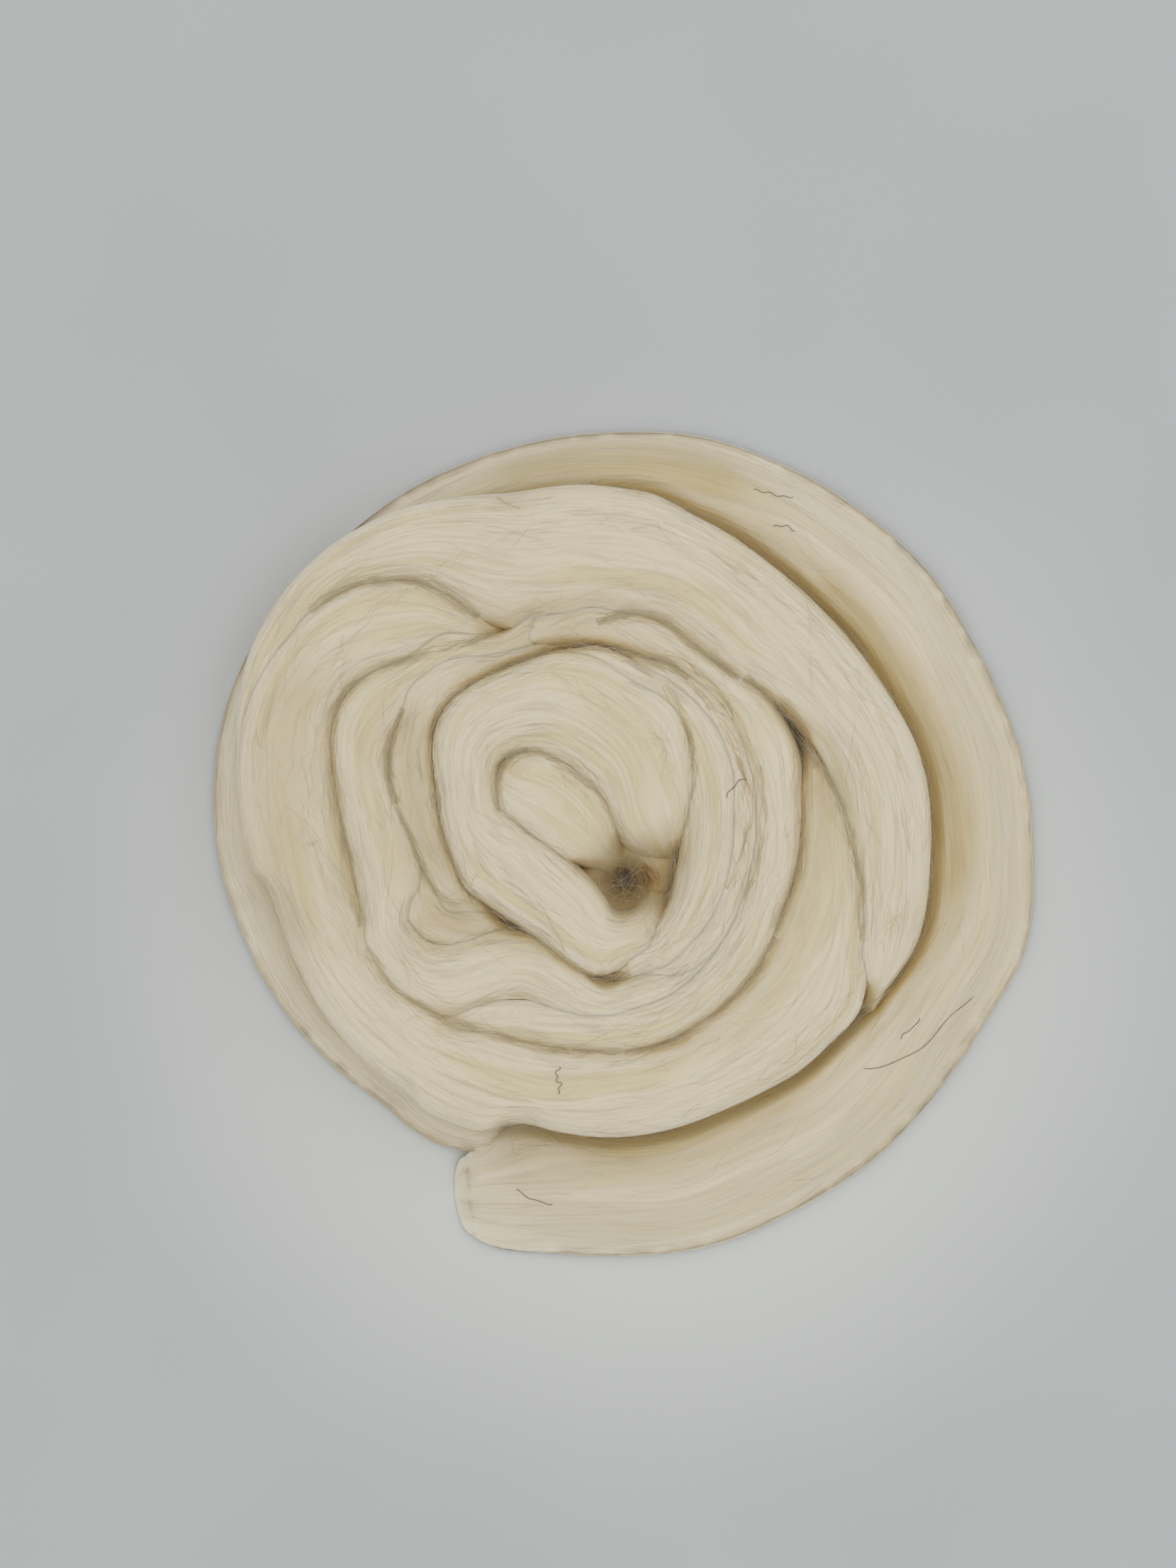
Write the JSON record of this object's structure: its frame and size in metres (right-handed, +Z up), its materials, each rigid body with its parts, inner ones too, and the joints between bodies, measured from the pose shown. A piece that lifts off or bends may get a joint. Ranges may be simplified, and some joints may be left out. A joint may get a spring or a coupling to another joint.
{
  "type": "wool roving",
  "caption": "Length of undyed combed wool roving, wound by hand into a loose flat nest with its torn end lying round the outside.",
  "frame": {"origin": "on the surface that the wool rests on, under the middle of the nest's bounding box", "axes": "+Z up from the surface, +Y away from the torn tail, +X to the right with the tail at the lower left"},
  "size_m": [0.2295, 0.231, 0.0391],
  "materials": {
    "wool": "matt, combed natural white wool",
    "wool_loose_end": "matt, combed natural white wool, thinner and a little creamier"
  },
  "bodies": {
    "root": {"coil": "wool", "loose_end": "wool_loose_end"}
  },
  "joints": []
}
